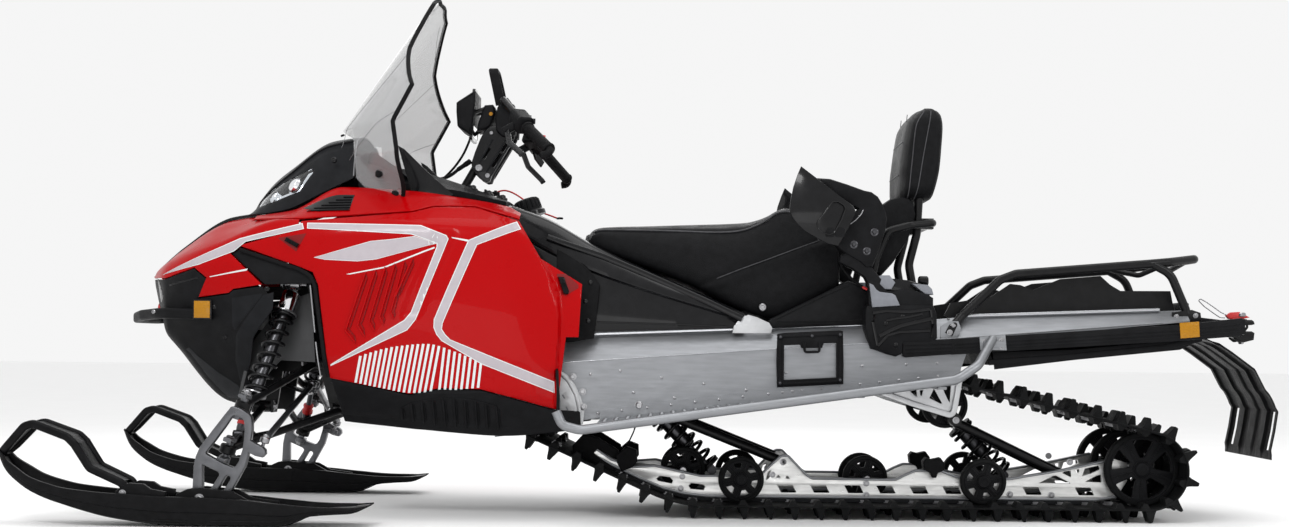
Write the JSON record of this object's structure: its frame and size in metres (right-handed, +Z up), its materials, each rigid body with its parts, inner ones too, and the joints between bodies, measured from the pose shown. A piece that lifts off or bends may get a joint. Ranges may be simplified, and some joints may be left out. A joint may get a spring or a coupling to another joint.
{
  "type": "utility snowmobile",
  "caption": "Two-seat utility snowmobile, red over black, with tall screen, backrest, rear rack and steered skis on a jointed front end",
  "frame": {"origin": "on the ground under the middle of the machine's bounding box", "axes": "+X forward, +Y to the rider's left, +Z up"},
  "size_m": [3.502, 1.144, 1.4892],
  "materials": {
    "red_paint": "high gloss red lacquer on moulded panels",
    "black_gloss": "semi-gloss moulded black plastic",
    "black_plastic": "textured moulded black plastic",
    "smoke_clear": "smoke-tinted clear polycarbonate",
    "lamp_lens": "clear lamp lens",
    "aluminium": "satin anodised sheet",
    "silver_cast": "painted cast alloy",
    "black_tube": "powder-coated black tube",
    "vinyl": "black grained seat vinyl",
    "track_rubber": "moulded track rubber",
    "ski_plastic": "black polyethylene",
    "steel": "zinc-plated steel",
    "flap_rubber": "black moulded rubber",
    "engine_metal": "plain block for the engine"
  },
  "bodies": {
    "chassis": {"a_arms_left": "black_tube", "a_arms_right": "black_tube", "arm_brackets": "black_tube", "arm_hangers": "aluminium", "backrest_frame": "black_tube", "backrest_pad": "vinyl", "belly_pan": "black_plastic", "control_cables": "flap_rubber", "dash_console": "black_plastic", "drive_axle": "steel", "engine_block": "engine_metal", "front_bumper": "black_plastic", "front_cover": "black_gloss", "front_frame": "black_tube", "front_shocks": "black_tube", "fuel_cap": "black_plastic", "hand_deflectors": "black_plastic", "headlights": "lamp_lens", "hitch_clip": "red_paint", "hood": "red_paint", "idler_wheels": "black_plastic", "passenger_base": "black_plastic", "passenger_grips": "black_plastic", "rack_sides": "black_plastic", "rear_bumper": "black_tube", "rear_rack": "black_tube", "running_board_left": "aluminium", "running_board_right": "aluminium", "seat": "vinyl", "seat_base": "black_plastic", "side_panel_left": "red_paint", "side_panel_right": "red_paint", "skid_arms": "black_tube", "skid_rails": "aluminium", "skid_shocks": "black_tube", "slide_runners": "black_plastic", "snow_deflector": "black_plastic", "snow_flap": "flap_rubber", "tail_rails": "black_plastic", "tank_cover": "black_plastic", "tether_cord": "red_paint", "tow_hitch": "black_tube", "track": "track_rubber", "tunnel": "aluminium", "upper_cowl": "red_paint", "visor": "black_plastic", "wheel_well_covers": "black_plastic", "windshield": "smoke_clear"},
    "handlebar": {"handlebar": "black_tube", "gauge": "black_plastic", "grab_strap": "flap_rubber"},
    "pitman": {"pitman_arm": "steel"},
    "spindle_left_body": {"spindle_left": "silver_cast"},
    "spindle_right_body": {"spindle_right": "silver_cast"},
    "tie_rod_left_body": {"tie_rod_left": "steel"},
    "tie_rod_right_body": {"tie_rod_right": "steel"},
    "ski_left_body": {"ski_left": "ski_plastic"},
    "ski_right_body": {"ski_right": "ski_plastic"},
    "footrest_left_body": {"footrest_left": "black_plastic"},
    "footrest_right_body": {"footrest_right": "black_plastic"}
  },
  "joints": [
    {"name": "steering", "type": "hinge", "parent": "chassis", "child": "handlebar", "pos_m": [0.59, 0, 0.955], "axis": [-0.5, 0, 0.866], "range_deg": [-34, 34]},
    {"name": "pitman_turn", "type": "hinge", "parent": "chassis", "child": "pitman", "pos_m": [1.1194, 0, 0.39041], "axis": [-0.3156, 0, 0.9489], "range_deg": [-27.2, 27.2]},
    {"name": "spindle_left_turn", "type": "hinge", "parent": "chassis", "child": "spindle_left_body", "pos_m": [1.164, 0.45, 0.197], "axis": [-0.3156, 0, 0.9489], "range_deg": [-27.2, 27.2]},
    {"name": "tie_rod_left_ball", "type": "hinge", "parent": "spindle_left_body", "child": "tie_rod_left_body", "pos_m": [1.06029, 0.472, 0.22363], "axis": [-0.3156, 0, 0.9489], "range_deg": [-27.2, 27.2]},
    {"name": "ski_left_pitch", "type": "hinge", "parent": "spindle_left_body", "child": "ski_left_body", "pos_m": [1.215, 0.5, 0.072], "axis": [0, 1, 0], "range_deg": [-12, 12]},
    {"name": "footrest_left_fold", "type": "hinge", "parent": "chassis", "child": "footrest_left_body", "pos_m": [-0.405, 0.277, 0.373], "axis": [-1, 0, 0], "range_deg": [0, 78]},
    {"name": "spindle_right_turn", "type": "hinge", "parent": "chassis", "child": "spindle_right_body", "pos_m": [1.164, -0.45, 0.197], "axis": [-0.3156, 0, 0.9489], "range_deg": [-27.2, 27.2]},
    {"name": "tie_rod_right_ball", "type": "hinge", "parent": "spindle_right_body", "child": "tie_rod_right_body", "pos_m": [1.06029, -0.472, 0.22363], "axis": [-0.3156, 0, 0.9489], "range_deg": [-27.2, 27.2]},
    {"name": "ski_right_pitch", "type": "hinge", "parent": "spindle_right_body", "child": "ski_right_body", "pos_m": [1.215, -0.5, 0.072], "axis": [0, 1, 0], "range_deg": [-12, 12]},
    {"name": "footrest_right_fold", "type": "hinge", "parent": "chassis", "child": "footrest_right_body", "pos_m": [-0.405, -0.277, 0.373], "axis": [1, 0, 0], "range_deg": [0, 78]}
  ],
  "couplings": [
    {"joint": "pitman_turn", "follows": "steering", "ratio": 0.8},
    {"joint": "spindle_left_turn", "follows": "steering", "ratio": 0.8},
    {"joint": "tie_rod_left_ball", "follows": "steering", "ratio": -0.8},
    {"joint": "spindle_right_turn", "follows": "steering", "ratio": 0.8},
    {"joint": "tie_rod_right_ball", "follows": "steering", "ratio": -0.8}
  ]
}
